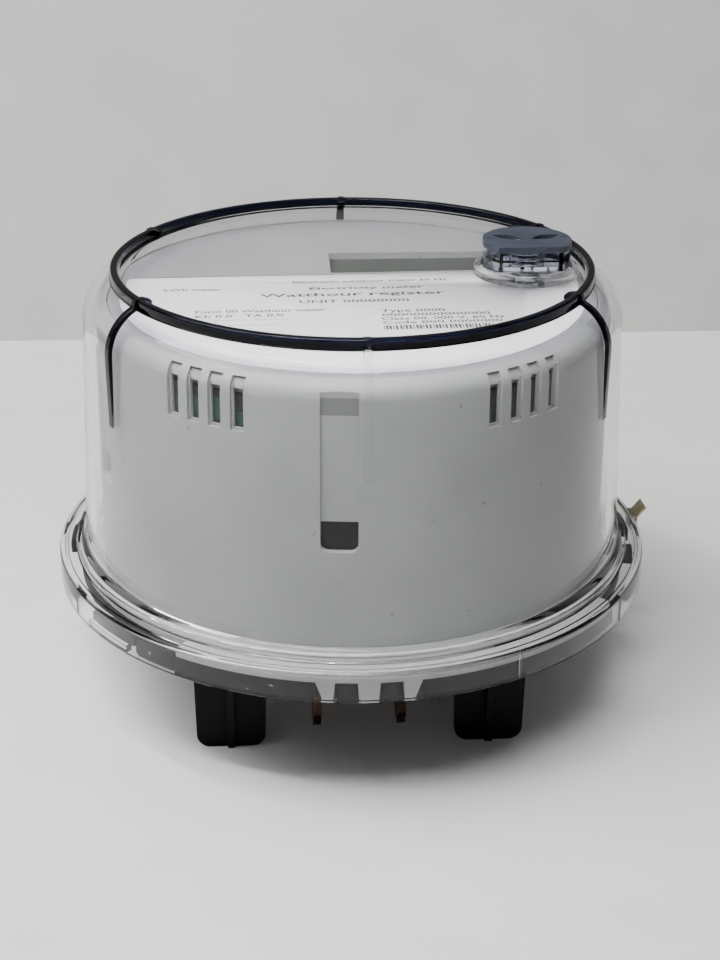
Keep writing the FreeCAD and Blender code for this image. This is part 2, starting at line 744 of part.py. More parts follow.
def main_board_parts():
    """Transformer, capacitors, surge discs, backup cell and radio on the main board."""
    top = "(main_level + board_thick)"
    frame = box("core_block", ("30", "14", "22"), ("-15", "-37", top))
    opening = box("core_opening", ("18", "15", "14"), ("-9", "-37.5", f"{top} + 4"))
    finish(cut("transformer_core", frame, opening), "transformer_core")
    coil = box("coil_block", ("17.6", "24", "13.6"), ("-8.8", "-42", f"{top} + 4.2"))
    finish(coil, "transformer_coil")
    capacitors, discs = [], []
    for index in range(3):
        capacitors.append(rod(f"capacitor_{index}", "6.2", "20", ("-46", f"{15 * (index - 1)}", top)))
        stand = (f"{42 + 7 * (index % 2)}", f"{-22 + 9 * index}", f"{top} + 7")
        discs.append(rod(f"surge_disc_{index}", "6.5", "4", stand, (0, 1, 0)))
    group("filter_capacitors", capacitors)
    group("surge_discs", discs)
    holder = box("holder_block", ("27", "13", "6"), ("16", "22", top))
    cell_level = f"{top} + 8.6"
    hollow = rod("holder_hollow", "7.4", "27", ("16", "28.5", cell_level), (1, 0, 0))
    finish(cut("battery_holder", holder, hollow), "battery_holder")
    finish(rod("backup_battery", "7.2", "25", ("17", "28.5", cell_level), (1, 0, 0)), "backup_battery")
    finish(box("radio_board", ("34", "26", "1.2"), ("-27", "10", f"{top} + 2.4")), "radio_board")
    finish(box("radio_header", ("24", "2.5", "2.4"), ("-22", "11", top)), "radio_header")
    finish(box("radio_shield", ("24", "18", "3"), ("-22", "14", f"{top} + 3.6")), "radio_shield")
    body = new_body("antenna")
    strip = sector("board_radius - 5", "board_radius - 4.4", "158", "202")
    pad(body, outline(flat_sketch(body, top), strip), "18")


def display_parts():
    """Display glass in its holder, light guide, contact strips, and a switch below each button."""
    top = "(display_level + board_thick)"
    length, width = "(window_right - window_left)", "(window_back - window_front)"

    def at_window(label, side, end, height, level):
        """A block that overhangs the window by side along X and by end along Y."""
        size = (f"{length} + 2 * ({side})", f"{width} + 2 * ({end})", height)
        return box(label, size, (f"window_left - ({side})", f"window_front - ({end})", f"{top} + {level}"))

    outer = at_window("holder_outside", "3", "2.5", "5.8", "0")
    inner = at_window("holder_inside", "1.5", "1", "7", "0")
    finish(cut("display_holder", outer, inner), "display_holder")
    finish(at_window("display_backlight", "-0.5", "-2.5", "2.4", "0.2"), "display_backlight")
    finish(at_window("display_glass", "-0.3", "-0.3", "2.0", "5.1"), "display_glass")
    strips = [box(f"strip_{name}", (f"{length} - 2", "1.6", "4.9"), ("window_left + 1", y, f"{top} + 0.05"))
              for name, y in (("front", "window_front + 0.4"), ("back", "window_back - 2.0"))]
    group("contact_strips", strips)
    switches = [box(f"switch_{name}", ("6", "6", "1.5"), (f"{x} - 3", f"{y} - 3", top))
                for name, x, y in (("reset", "knob_x", "knob_y"), ("test", "test_x", "test_y"))]
    group("push_switches", switches)


def button(label, x, y, radius, low, high):
    """A round push button with a collar that keeps it under the shroud."""
    stem = rod(label + "_stem", radius, f"{high} - ({low})", (x, y, low))
    collar = rod(label + "_collar", f"{radius} + 1.2", "1", (x, y, f"{low} + 1"))
    finish(fuse(label, [stem, collar]), label)


# ---------------------------------------------------------------- shroud and nameplate

def inner_shroud():
    """Light grey inner housing: wall with channels and vents, open top, and a lip with three tabs."""
    body = new_body("inner_shroud")
    lip_bottom = "rim_top + 0.1"
    corners = [
        ("0", "seat_level"),
        ("seat_radius", "seat_level"),
        ("seat_radius", "shroud_top"),
        ("seat_radius + 0.7", "shroud_top"),
        ("shroud_radius", "shroud_shoulder", "-5"),
        ("shroud_foot", f"{lip_bottom} + shroud_lip"),
        ("ring_radius", f"{lip_bottom} + shroud_lip"),
        ("ring_radius", lip_bottom),
        ("shroud_foot - shroud_wall", lip_bottom),
        ("shroud_radius - shroud_wall", "shroud_shoulder - 1"),
        ("seat_radius - 0.7", "seat_level - 1.8"),
        ("0", "seat_level - 1.8"),
    ]
    revolve(body, outline(upright_sketch(body), corners))
    strip = sector("ring_radius - 0.5", "rim_radius", "-36", "55")
    pad(body, outline(flat_sketch(body, lip_bottom), strip), "shroud_lip")
    for azimuth, (top_left, top_right), (low_left, low_right) in LIP_TABS:
        tab = [
            (top_left, "rim_top + 0.3"),
            (low_left, "skirt_bottom"),
            (low_right, "skirt_bottom"),
            (top_right, "rim_top + 0.3"),
        ]
        pad(body, outline(upright_sketch(body, azimuth, "rim_radius - 0.1"), tab), "1.2", inwards=True)
    for azimuth in CHANNEL_AZIMUTHS:
        channel_depth = "shroud_foot + 3 - (shroud_radius - 0.7)"
        pocket(body, channel(body, azimuth, "shroud_top - 1.3"), channel_depth)
        pocket(body, channel(body, azimuth, "83"), "8")
    for side in ("-1", "1"):
        for azimuth in VENT_AZIMUTHS:
            slot = rectangle("-1.9", "1.9", "106", "shroud_top - 0.9")
            place = upright_sketch(body, f"{side} * {azimuth}", "shroud_foot + 3")
            pocket(body, outline(place, slot), "6.6")
    add_top_openings(body, "seat_level", "3")


def channel(body, azimuth, top):
    """An upright slot outline on the shroud's wall, with rounded lower corners."""
    low, half, corner = "74.5", "4.9", "2"
    corners = [
        (f"-{half} + {corner}", low, corner),
        (f"{half} - {corner}", low),
        (half, f"{low} + {corner}", corner),
        (half, top),
        (f"-{half}", top),
        (f"-{half}", f"{low} + {corner}"),
    ]
    return outline(upright_sketch(body, azimuth, "shroud_foot + 3"), corners)


def add_top_openings(body, level, depth):
    """The display window and the two button holes."""
    window = rectangle("window_left", "window_right", "window_front", "window_back")
    pocket(body, outline(flat_sketch(body, level), window), depth)
    pocket(body, circle(flat_sketch(body, level), "knob_x", "knob_y", "button_radius + 0.4"), depth)
    pocket(body, circle(flat_sketch(body, level), "test_x", "test_y", "test_radius + 0.4"), depth)


def nameplate():
    """Flat plate in the shroud's seat."""
    body = new_body("nameplate")
    pad(body, circle(flat_sketch(body, "seat_level"), "0", "0", "seat_radius - 0.3"), "plate_thick")
    add_top_openings(body, "seat_level + plate_thick", "plate_thick + 1")


def label():
    """Thin printed sheet over the lower part of the nameplate."""
    body = new_body("label")
    half = "sqrt(label_radius^2 - label_edge^2)"
    corners = [
        (half, "label_edge", "label_radius"),
        (f"-{half}", "label_edge"),
        ("0", "-label_radius", "label_radius"),
    ]
    level = "seat_level + plate_thick"
    pad(body, outline(flat_sketch(body, level), corners), "label_thick")
    pocket(body, circle(flat_sketch(body, "shroud_top"), "knob_x", "knob_y", "button_radius + 0.8"), "2")
    notch = circle(flat_sketch(body, "shroud_top"), "test_x", "test_y", "test_radius + 0.8")
    pocket(body, notch, "2")


# ---------------------------------------------------------------- build, check and export

def check_document():
    """Stop if any object failed or any sub-part's shape is empty or invalid."""
    document.recompute()
    for item in document.Objects:
        if {"Invalid", "Error"} & set(item.State):
            raise RuntimeError(f"{item.Label} failed: {item.State}")
    for piece in subparts:
        if piece.Shape.isNull() or not piece.Shape.isValid() or piece.Shape.Volume < 0.01:
            raise RuntimeError(f"{piece.Label} has no valid solid")


def export():
    os.makedirs("parts", exist_ok=True)
    for piece in subparts:
        piece.Shape.exportStep(f"parts/{piece.Label}.step")
    print(len(subparts), "sub-parts written")


sheet = make_sheet()
cover_shell()
cover_gasket()
ground_clip()
knob_cap()
knob_body()
knob_stem()
knob_hardware()
base_housing()
blades()
current_sensors()
boards()
main_board_parts()
display_parts()
button("reset_button", "knob_x", "knob_y", "button_radius", "display_level + 5.2", "button_top")
button("test_button", "test_x", "test_y", "test_radius", "display_level + 4.4", "button_top - 1.3")
inner_shroud()
nameplate()
label()
check_document()
export()
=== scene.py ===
"""Socket-type electricity meter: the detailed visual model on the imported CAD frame."""
import json
import math

import bmesh
import bpy
from mathutils import Matrix, Vector


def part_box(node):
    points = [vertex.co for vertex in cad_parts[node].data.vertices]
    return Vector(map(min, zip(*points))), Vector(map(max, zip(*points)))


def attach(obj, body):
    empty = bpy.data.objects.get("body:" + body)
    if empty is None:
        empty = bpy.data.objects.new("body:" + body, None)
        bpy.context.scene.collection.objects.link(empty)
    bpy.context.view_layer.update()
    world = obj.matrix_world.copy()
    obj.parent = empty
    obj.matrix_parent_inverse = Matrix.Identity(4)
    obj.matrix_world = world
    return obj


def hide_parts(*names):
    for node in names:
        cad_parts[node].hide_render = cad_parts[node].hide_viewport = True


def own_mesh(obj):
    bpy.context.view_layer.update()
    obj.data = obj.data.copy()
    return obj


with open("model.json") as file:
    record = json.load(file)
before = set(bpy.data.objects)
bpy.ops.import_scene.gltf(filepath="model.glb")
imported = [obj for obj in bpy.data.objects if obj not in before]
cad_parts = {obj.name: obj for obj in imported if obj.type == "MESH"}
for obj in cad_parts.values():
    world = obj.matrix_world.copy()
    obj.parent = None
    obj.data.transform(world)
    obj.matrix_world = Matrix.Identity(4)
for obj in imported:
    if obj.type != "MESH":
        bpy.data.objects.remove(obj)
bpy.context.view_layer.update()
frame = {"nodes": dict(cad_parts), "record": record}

# ---------------------------------------------------------------- sizes, in metres

MM = 0.001
cover_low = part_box("cover_shell")[0]
knob_low, knob_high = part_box("knob_cap")
body_low, body_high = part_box("knob_body")
label_low, label_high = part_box("label")
stem_low, stem_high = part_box("knob_stem")

flange_radius = -cover_low[0]
skirt_bottom = cover_low[2]
skirt_wall = 1.85 * MM
skirt_inside = flange_radius - skirt_wall
flange_top = skirt_bottom + 9.0 * MM
flange_plate = 2.0 * MM
foot_radius = 80.0 * MM
foot_level = flange_top + 5.0 * MM
wall_radius = 77.3 * MM
wall_level = 116.0 * MM
wall_thick = 2.5 * MM
shoulder = 13.0 * MM
shoulder_centre = wall_radius - shoulder
bead_radius = 69.0 * MM
bead_width = 2.4 * MM
face_level = body_low[2]
face_bottom = face_level - wall_thick
bead_top = face_level + 1.8 * MM

knob_x = (stem_low[0] + stem_high[0]) / 2
knob_y = (stem_low[1] + stem_high[1]) / 2
knob_radius = (knob_high[0] - knob_low[0]) / 2
knob_chord = knob_y - knob_low[1]
well_radius = 13.3 * MM
well_floor = face_level - 2.3 * MM
well_bottom = well_floor - 2.2 * MM

CHANNEL_AZIMUTHS = (-5.6, -69.4, 110.6, 174.4)
VENT_AZIMUTHS = (26.2, 31.3, 36.3, 41.4)
# lowest and highest level, in millimetres, of the board's edge that shows in each vent
BOARD_EDGES = ((106, 110), (107, 113), (106, 112), (108, 111))
rim_band = (36.8 * MM, 41.9 * MM)
RIM_BANDS = (
    # start and end azimuth, then the base rim's outer radius there
    (-35.5, -10.2, 85.9 * MM), (-5.2, -2.3, 85.9 * MM), (2.3, 5.2, 85.9 * MM), (10.2, 27.5, 85.9 * MM),
    (-46, -37, 85.2 * MM), (28.5, 56.5, 85.2 * MM),
)
label_radius = 66.0 * MM
label_edge = 11.7 * MM
label_turn = math.radians(1.6)


# ---------------------------------------------------------------- mesh helpers

def on_circle(radius, azimuth, z):
    """A point at an azimuth in degrees from the front (-Y), growing towards +X."""
    angle = math.radians(azimuth)
    return Vector((radius * math.sin(angle), -radius * math.cos(angle), z))


def arc(centre, radius, start, end, count=10):
    """Points of an arc in a profile, angles in degrees from +r towards +z."""
    step = (end - start) / count
    return [(centre[0] + radius * math.cos(math.radians(start + step * i)),
             centre[1] + radius * math.sin(math.radians(start + step * i))) for i in range(count + 1)]


def new_object(name, mesh_data, crease=30):
    """An object from a bmesh, shaded smooth except over sharp edges."""
    bmesh.ops.remove_doubles(mesh_data, verts=mesh_data.verts, dist=1e-7)
    bmesh.ops.recalc_face_normals(mesh_data, faces=mesh_data.faces)
    mesh = bpy.data.meshes.new(name)
    mesh_data.to_mesh(mesh)
    mesh_data.free()
    for polygon in mesh.polygons:
        polygon.use_smooth = True
    mesh.set_sharp_from_angle(angle=math.radians(crease))
    piece = bpy.data.objects.new(name, mesh)
    bpy.context.scene.collection.objects.link(piece)
    return piece


def turned(name, profile, start=0.0, end=360.0, steps=240, centre=(0, 0)):
    """A closed (radius, z) profile turned about a vertical axis, all round or between two azimuths."""
    whole = end - start >= 360
    count = steps if whole else max(2, round(steps * (end - start) / 360))
    shape = bmesh.new()
    offset = Vector((centre[0], centre[1], 0))
    rings = []
    for i in range(count if whole else count + 1):
        azimuth = start + (end - start) * i / count
        rings.append([shape.verts.new(on_circle(r, azimuth, z) + offset) for r, z in profile])
    pairs = list(zip(rings, rings[1:])) + ([(rings[-1], rings[0])] if whole else [])
    for here, there in pairs:
        for i in range(len(profile)):
            j = (i + 1) % len(profile)
            if profile[i][0] < 1e-9 and profile[j][0] < 1e-9:
                continue
            shape.faces.new((here[i], here[j], there[j], there[i]))
    if not whole:
        shape.faces.new(rings[0])
        shape.faces.new(rings[-1])
    return new_object(name, shape)


def ring_section(inner, outer, low, high):
    """A rectangular (radius, z) profile."""
    return [(inner, low), (outer, low), (outer, high), (inner, high)]


def plug(centre, radius, low, high, steps=64):
    """A round upright plug, for boring a hole or filling one."""
    return turned("plug", ring_section(0, radius, low, high), steps=steps, centre=centre)


def prism(name, loops, low, high, bevel=0.0):
    """A solid between two levels from flat outlines of (x, y) points, each a separate island."""
    shape = bmesh.new()
    for loop in loops:
        base = [shape.verts.new((x, y, low)) for x, y in loop]
        top = [shape.verts.new((x, y, high)) for x, y in loop]
        shape.faces.new(base[::-1])
        shape.faces.new(top)
        for i in range(len(loop)):
            j = (i + 1) % len(loop)
            shape.faces.new((base[i], base[j], top[j], top[i]))
    piece = new_object(name, shape)
    if bevel:
        soften(piece, bevel)
    return piece


def soften(piece, width, angle=40):
    """Round a piece's sharp edges."""
    bevel = piece.modifiers.new("edges", "BEVEL")
    bevel.width = width
    bevel.segments = 3
    bevel.limit_method = "ANGLE"
    bevel.angle_limit = math.radians(angle)
    return piece


def apply_modifiers(piece):
    """Bake a piece's modifiers into its mesh."""
    evaluated = piece.evaluated_get(bpy.context.evaluated_depsgraph_get())
    mesh = bpy.data.meshes.new_from_object(evaluated)
    piece.modifiers.clear()
    piece.data = mesh
    return piece


def boolean(piece, tool, operation):
    """Cut a tool from a piece or join it to it, and drop the tool."""
    modifier = piece.modifiers.new("boolean", "BOOLEAN")
    modifier.operation = operation
    modifier.solver = "EXACT"
    modifier.object = tool
    apply_modifiers(piece)
    bpy.data.objects.remove(tool)
    return piece


def dress(piece, body, material, replaces=()):
    """Give a piece its body, its material and the CAD nodes that it stands for."""
    piece.data.materials.clear()
    piece.data.materials.append(material)
    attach(piece, body)
    if replaces:
        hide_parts(*replaces)
    return piece


# ---------------------------------------------------------------- material helpers

class Nodes:
    """A short way to build one material's nodes."""

    def __init__(self, name):
        self.material = bpy.data.materials.new(name)
        self.material.use_nodes = True
        self.tree = self.material.node_tree
        self.shader = self.tree.nodes["Principled BSDF"]
        self.output = self.tree.nodes["Material Output"]
        self.place = self.add("ShaderNodeTexCoord").outputs["Object"]

    def add(self, kind, **settings):
        """A node with its settings."""
        node = self.tree.nodes.new(kind)
        for key, value in settings.items():
            setattr(node, key, value)
        return node

    def link(self, source, target):
        """Join a socket to another."""
        self.tree.links.new(source, target)

    def noise(self, scale, detail=4.0, roughness=0.55, stretch=None):
        """Noise in the piece's own coordinates, stretched if asked."""
        node = self.add("ShaderNodeTexNoise")
        node.inputs["Scale"].default_value = scale
        node.inputs["Detail"].default_value = detail
        node.inputs["Roughness"].default_value = roughness
        place = self.place
        if stretch:
            mapping = self.add("ShaderNodeMapping")
            mapping.inputs["Scale"].default_value = stretch
            self.link(place, mapping.inputs["Vector"])
            place = mapping.outputs["Vector"]
        self.link(place, node.inputs["Vector"])
        return node.outputs["Fac"]

    def ramp(self, value, low, high, start=0.35, end=0.65):
        """Map a noise value onto a range."""
        node = self.add("ShaderNodeMapRange")
        node.inputs["From Min"].default_value = start
        node.inputs["From Max"].default_value = end
        node.inputs["To Min"].default_value = low
        node.inputs["To Max"].default_value = high
        self.link(value, node.inputs["Value"])
        return node.outputs["Result"]

    def blend(self, factor, first, second):
        """A colour mix. A colour may be a tuple or a socket."""
        node = self.add("ShaderNodeMix", data_type="RGBA")
        self.link(factor, node.inputs["Factor"])
        for socket, colour in ((node.inputs["A"], first), (node.inputs["B"], second)):
            if isinstance(colour, tuple):
                socket.default_value = colour + (1.0,)
            else:
                self.link(colour, socket)
        return node.outputs["Result"]

    def bump(self, height, strength, distance):
        """A bump on the shader's normal."""
        node = self.add("ShaderNodeBump")
        node.inputs["Strength"].default_value = strength
        node.inputs["Distance"].default_value = distance
        self.link(height, node.inputs["Height"])
        self.link(node.outputs["Normal"], self.shader.inputs["Normal"])

    def set(self, **values):
        """Constants for the shader's inputs, with _ for a space."""
        for key, value in values.items():
            self.shader.inputs[key.replace("_", " ")].default_value = value


def shade(colour, factor):
    """A colour made lighter or darker."""
    return tuple(min(1.0, c * factor) for c in colour)


def moulded(name, colour, roughness, grain=900.0, depth=0.00003, variation=0.06,
            dust=0.0, specks=(0.7, 0.7, 0.7), shine=0.5):
    """Moulded plastic: slight mottling, a spark-eroded grain, and optional specks of dust."""
    n = Nodes(name)
    n.set(Specular_IOR_Level=shine)
    tone = n.ramp(n.noise(35.0), 0.0, 1.0)
    base = n.blend(tone, shade(colour, 1 - variation), shade(colour, 1 + variation))
    if dust:
        base = n.blend(n.ramp(n.noise(420.0, 1.0), 0.0, dust, 0.765, 0.79), base, specks)
    n.link(base, n.shader.inputs["Base Color"])
    dull = n.ramp(n.noise(90.0), roughness - 0.04, roughness + 0.05, 0.1, 0.9)
    n.link(dull, n.shader.inputs["Roughness"])
    n.bump(n.noise(grain, 3.0), 0.5, depth)
    return n.material


def metal(name, colour, dark, roughness, along=(1, 1, 1)):
    """Drawn or plated metal with tarnish patches and fine lines."""
    n = Nodes(name)
    n.set(Metallic=1.0)
    patches = n.ramp(n.noise(120.0, 6.0), 0.0, 1.0, 0.4, 0.68)
    n.link(n.blend(patches, colour, dark), n.shader.inputs["Base Color"])
    dull = n.ramp(n.noise(300.0, stretch=along), roughness - 0.08, roughness + 0.12)
    n.link(dull, n.shader.inputs["Roughness"])
    n.bump(n.noise(700.0, stretch=along), 0.4, 0.00002)
    return n.material


def clear(name, colour, shadow, roughness=0.015, ior=1.42):
    """Clear moulded plastic that refracts, and lets the lamps light what it covers."""
    n = Nodes(name)
    n.set(Base_Color=colour + (1.0,), IOR=ior, Specular_Tint=(0.4, 0.4, 0.4, 1.0))
    n.set(Transmission_Weight=1.0)
    n.link(n.ramp(n.noise(60.0), roughness * 0.5, roughness * 1.8), n.shader.inputs["Roughness"])
    n.bump(n.noise(28.0, 2.0), 0.12, 0.0004)
    through = n.add("ShaderNodeBsdfTransparent")
    through.inputs["Color"].default_value = shadow + (1.0,)
    mix = n.add("ShaderNodeMixShader")
    n.link(n.add("ShaderNodeLightPath").outputs["Is Shadow Ray"], mix.inputs["Fac"])
    n.link(n.shader.outputs["BSDF"], mix.inputs[1])
    n.link(through.outputs["BSDF"], mix.inputs[2])
    n.link(mix.outputs["Shader"], n.output.inputs["Surface"])
    return n.material


DARK_DUST = (0.10, 0.10, 0.10)

clear_cover = clear("clear_cover", (0.97, 0.972, 0.976), (0.93, 0.93, 0.94))
clear_edge = clear("clear_edge", (0.006, 0.007, 0.017), (0.5, 0.51, 0.6), 0.03)
clear_rib = clear("clear_rib", (0.92, 0.925, 0.935), (0.93, 0.93, 0.94), 0.02)
clear_knob = clear("clear_knob", (0.72, 0.74, 0.84), (0.8, 0.8, 0.86), 0.03)
shroud_grey = moulded("shroud_grey", (0.232, 0.237, 0.234), 0.52, dust=0.7, specks=DARK_DUST, shine=0.3)
# dark grey for the painted shadow panels in the shroud's channels
painted_shadow_grey = moulded("painted_shadow_grey", (0.125, 0.128, 0.127), 0.6, shine=0.2)
plate_grey = moulded("plate_grey", (0.235, 0.236, 0.241), 0.5, dust=0.5, specks=DARK_DUST, shine=0.12)
label_white = moulded("label_white", (0.70, 0.702, 0.702), 0.45, grain=1600.0, depth=0.00001,
                      variation=0.015, shine=0.12)
print_grey = moulded("print_grey", (0.012, 0.012, 0.014), 0.6, variation=0.15, shine=0.2)
base_black = moulded("base_black", (0.003, 0.0032, 0.004), 0.5, depth=0.00006, dust=0.05,
                     variation=0.2, shine=0.1)
rim_grey = moulded("rim_grey", (0.009, 0.0095, 0.0105), 0.6, grain=1400.0, depth=0.00008, dust=0.3,
                   variation=0.3, shine=0.1)
knob_blue = moulded("knob_blue", (0.045, 0.052, 0.072), 0.42, depth=0.00004, dust=0.2,
                    variation=0.2, shine=0.2)
knob_foot_grey = moulded("knob_foot_grey", (0.62, 0.63, 0.66), 0.35)
button_grey = moulded("button_grey", (0.36, 0.37, 0.38), 0.42)
glass_green = moulded("glass_green", (0.038, 0.042, 0.036), 0.3, grain=200.0, depth=0.000004,
                      variation=0.04, shine=0.1)
guide_milk = moulded("guide_milk", (0.7, 0.72, 0.7), 0.25)
rubber_grey = moulded("rubber_grey", (0.30, 0.305, 0.31), 0.7, grain=500.0)
board_green = moulded("board_green", (0.012, 0.05, 0.03), 0.4, grain=2500.0, variation=0.3, shine=0.2)
case_black = moulded("case_black", (0.012, 0.013, 0.014), 0.5, shine=0.25)
epoxy_blue = moulded("epoxy_blue", (0.03, 0.06, 0.2), 0.25)
sleeve_dark = moulded("sleeve_dark", (0.03, 0.04, 0.09), 0.3)
tinned_copper = metal("tinned_copper", (0.14, 0.075, 0.055), (0.04, 0.025, 0.02), 0.42, (1, 1, 12))
bare_copper = metal("bare_copper", (0.72, 0.38, 0.22), (0.4, 0.18, 0.1), 0.35)
plain_brass = metal("plain_brass", (0.36, 0.32, 0.20), (0.17, 0.15, 0.09), 0.42, (8, 1, 1))
plain_steel = metal("plain_steel", (0.6, 0.6, 0.61), (0.4, 0.4, 0.41), 0.3)
core_steel = metal("core_steel", (0.2, 0.2, 0.21), (0.1, 0.09, 0.09), 0.5, (1, 30, 1))

SLOT_MATERIALS = {
    "clear_plastic": clear_cover, "shroud_plastic": shroud_grey, "plate_plastic": plate_grey,
    "label_film": label_white, "base_plastic": base_black, "knob_plastic": knob_blue,
    "button_plastic": button_grey, "display_glass": glass_green, "light_guide": guide_milk,
    "rubber": rubber_grey, "blade_metal": tinned_copper, "copper": bare_copper, "brass": plain_brass,
    "steel": plain_steel, "core_metal": core_steel, "sensor_plastic": case_black, "potting": epoxy_blue,
    "circuit_board": board_green, "capacitor_can": sleeve_dark,
}


def dress_cad_nodes():
    """Every CAD node that stays visible gets the material of its slot."""
    slots = {entry["node"]: entry["material_slot"] for entry in frame["record"]["subparts"]}
    for name, piece in frame["nodes"].items():
        piece.data.materials.clear()
        piece.data.materials.append(SLOT_MATERIALS[slots[name]])


# ---------------------------------------------------------------- clear cover

SKIRT_SEAMS = (
    # azimuth and material
    (-66, clear_edge), (28, clear_cover), (57, clear_edge), (148, clear_cover), (210, clear_edge),
)


def cover():
    """The clear shell with its knob well, and its bead, ribs and lugs as tinted pieces."""
    inside_foot = foot_radius - wall_thick + 0.1 * MM
    flat = bead_radius - bead_width
    profile = [(0, face_level), (flat - 0.4 * MM, face_level), (flat, face_level)]
    profile += [(bead_radius, face_level - 0.9 * MM)]
    profile += arc((shoulder_centre, wall_level), shoulder, 66, 0, 16)
    profile += [(wall_radius + 0.02 * MM, wall_level - 0.5 * MM)]
    profile += [(foot_radius - 0.02 * MM, foot_level + 0.5 * MM), (foot_radius, foot_level)]
    profile += arc((foot_radius + 1.4 * MM, foot_level - 0.6 * MM), 1.4 * MM, 180, 250, 5)
    step = flange_top + 2.2 * MM
    under = flange_top - flange_plate
    profile += [(foot_radius + 1.6 * MM, step), (foot_radius + 2.6 * MM, step)]
    profile += arc((foot_radius + 2.6 * MM, step - 0.3 * MM), 0.3 * MM, 90, 0, 3)
    profile += [(foot_radius + 2.9 * MM, flange_top + 0.3 * MM), (foot_radius + 3.3 * MM, flange_top)]
    profile += [(flange_radius - inset * MM, flange_top - drop * MM)
                for inset, drop in ((2.6, 0), (2.4, 0.35), (1.7, 0.35), (1.5, 0))]
    profile += arc((flange_radius - 0.9 * MM, flange_top - 0.9 * MM), 0.9 * MM, 90, 0, 5)
    profile += [(flange_radius, skirt_bottom + 0.3 * MM), (flange_radius - 0.3 * MM, skirt_bottom)]
    profile += [(skirt_inside, skirt_bottom), (skirt_inside, under), (foot_radius + 1.6 * MM, under)]
    profile += [(foot_radius + 1.6 * MM, flange_top - 0.9 * MM)]
    profile += [(foot_radius - 1.1 * MM, flange_top - 0.9 * MM)]
    profile += [(foot_radius - 1.1 * MM, under), (inside_foot, under)]
    profile += [(wall_radius - wall_thick + 0.02 * MM, wall_level - 0.5 * MM)]
    profile += arc((shoulder_centre, wall_level), shoulder - wall_thick, 0, 90, 14)
    profile += [(shoulder_centre - 0.4 * MM, face_bottom), (0, face_bottom)]
    shell = turned("cover_clear", profile, steps=288)
    centre = (knob_x, knob_y)
    boss = plug(centre, well_radius + 1.8 * MM, well_bottom, face_bottom + 0.8 * MM, steps=96)
    boolean(shell, boss, "UNION")
    bore = 2.55 * MM
    well = turned("well", [(0, well_bottom - 1 * MM), (bore, well_bottom - 1 * MM), (bore, well_floor),
                           (well_radius, well_floor), (well_radius, face_level + 1 * MM),
                           (0, face_level + 1 * MM)], steps=96, centre=centre)
    boolean(shell, well, "DIFFERENCE")
    smooth_again(shell)
    dress(shell, "cover", clear_cover, ["cover_shell"])
    bead_profile = [(bead_radius - bead_width, face_level - 0.6 * MM)]
    bead_profile += arc((bead_radius - bead_width + 0.7 * MM, bead_top - 0.7 * MM), 0.7 * MM, 180, 90, 5)
    bead_profile += arc((bead_radius - 0.7 * MM, bead_top - 0.7 * MM), 0.7 * MM, 90, 0, 5)
    bead_profile += [(bead_radius, face_level - 1.6 * MM)]
    dress(turned("cover_bead", bead_profile, steps=288), "cover", clear_edge)
    ribs()
    for index in range(2):
        start = -61 + 180 * index
        lug = ring_section(skirt_inside - 1.6 * MM, skirt_inside + 0.2 * MM,
                           skirt_bottom, skirt_bottom + 2.2 * MM)
        piece = turned(f"cover_lug_{index + 1}", lug, start, start + 13)
        dress(soften(piece, 0.25 * MM), "cover", clear_cover)
    seam = ring_section(skirt_inside + 0.1 * MM, flange_radius - 0.08 * MM,
                        skirt_bottom + 0.3 * MM, flange_top - 1.2 * MM)
    for index, (azimuth, material) in enumerate(SKIRT_SEAMS, start=1):
        piece = turned(f"skirt_seam_{index}", seam, azimuth - 0.14, azimuth + 0.14, steps=1440)
        dress(soften(piece, 0.1 * MM), "cover", material)


def smooth_again(piece, crease=30):
    """Restore smooth shading after a boolean."""
    for polygon in piece.data.polygons:
        polygon.use_smooth = True
    piece.data.set_sharp_from_angle(angle=math.radians(crease))


def ribs():
    """Six ribs, from a pad inside the bead, over it and down the wall, fading out at mid height."""
    slope = (foot_radius - wall_radius) / (wall_level - foot_level)
    end = 96 * MM
    raised = 1.0 * MM
    outer = [(bead_radius - bead_width - 2.2 * MM, face_level + 0.9 * MM),
             (bead_radius - bead_width - 1.6 * MM, face_level + 1.5 * MM),
             (bead_radius - bead_width, bead_top + 0.2 * MM),
             (bead_radius + 0.3 * MM, bead_top + 0.1 * MM)]
    outer += arc((shoulder_centre, wall_level), shoulder + raised, 66, 0, 14)
    outer += [(wall_radius + slope * (wall_level - end) - 0.05 * MM, end)]
    inner = [(wall_radius - 0.6 * MM, end)]
    inner += arc((shoulder_centre, wall_level), shoulder - 0.6 * MM, 0, 66, 14)
    inner += [(bead_radius - 2.5 * MM, face_level - 1 * MM),
              (bead_radius - bead_width - 2.2 * MM, face_level - 1 * MM)]
    for index in range(6):
        azimuth = 60 * index
        name = f"cover_rib_{index + 1}"
        piece = soften(turned(name, outer + inner, azimuth - 0.95, azimuth + 0.95, steps=720), 0.3 * MM)
        dress(piece, "cover", clear_edge if index else clear_rib)


# ---------------------------------------------------------------- knob

def flat_sided(radius, chord, count=60):
    """The outline of a disc about the knob's axis with one flat side towards -Y."""
    limit = math.degrees(math.acos(chord / radius))
    points = []
    for i in range(count + 1):
        azimuth = limit + (360 - 2 * limit) * i / count
        place = on_circle(radius, azimuth, 0)
        points.append((knob_x + place.x, knob_y + place.y))
    return points


def leaf(side, count=12):
    """A pointed oval slot in one half of the knob's cap."""
    near, far = Vector((side * 1.1, -0.5)) * MM, Vector((side * 9.7, 3.9)) * MM
    along = far - near
    across = Vector((-along.y, along.x)).normalized() * 2.0 * MM
    points = []
    for sign in (1, -1):
        for i in range(count):
            t = i / count if sign == 1 else 1 - i / count
            place = near + along * t + across * sign * math.sin(math.pi * t)
            points.append((knob_x + place.x, knob_y + place.y))
    return points


